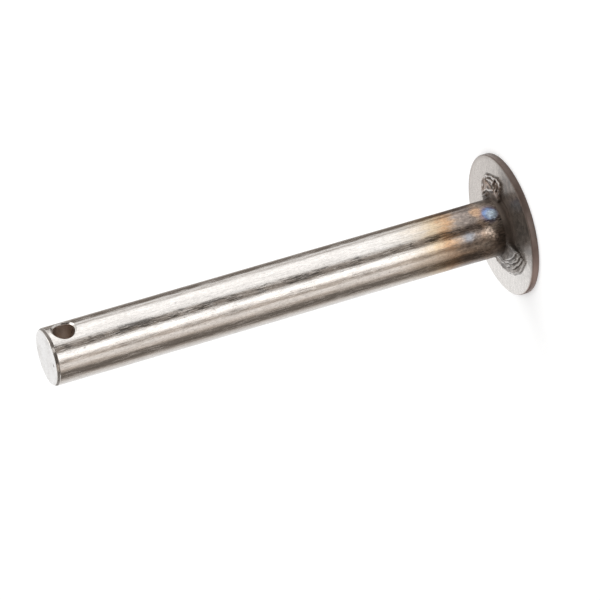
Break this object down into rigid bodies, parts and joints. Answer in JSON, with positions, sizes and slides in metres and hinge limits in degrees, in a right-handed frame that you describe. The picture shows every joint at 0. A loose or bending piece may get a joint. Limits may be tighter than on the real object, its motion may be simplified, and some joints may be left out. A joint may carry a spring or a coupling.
{
  "type": "door spring pin",
  "caption": "Round steel pin with a flat washer welded on as its head and a cross hole for a clip near its bevelled free end.",
  "frame": {"origin": "centre of the head's outer face, on which the pin stands", "axes": "+Z along the shank from the head to the free end, X along the cross hole"},
  "size_m": [0.0318, 0.0318, 0.108],
  "materials": {
    "satin_bar": "satin drawn bar with fine lengthwise streaks, heat-tinted straw, bronze and blue beside the head",
    "satin_plate": "satin sheet, browned on its rim and darkened round the weld",
    "weld_metal": "rippled weld metal with bright crests and dark oxide beside the bar"
  },
  "bodies": {
    "root": {"shank": "satin_bar", "washer_head": "satin_plate", "weld_bead": "weld_metal"}
  },
  "joints": []
}
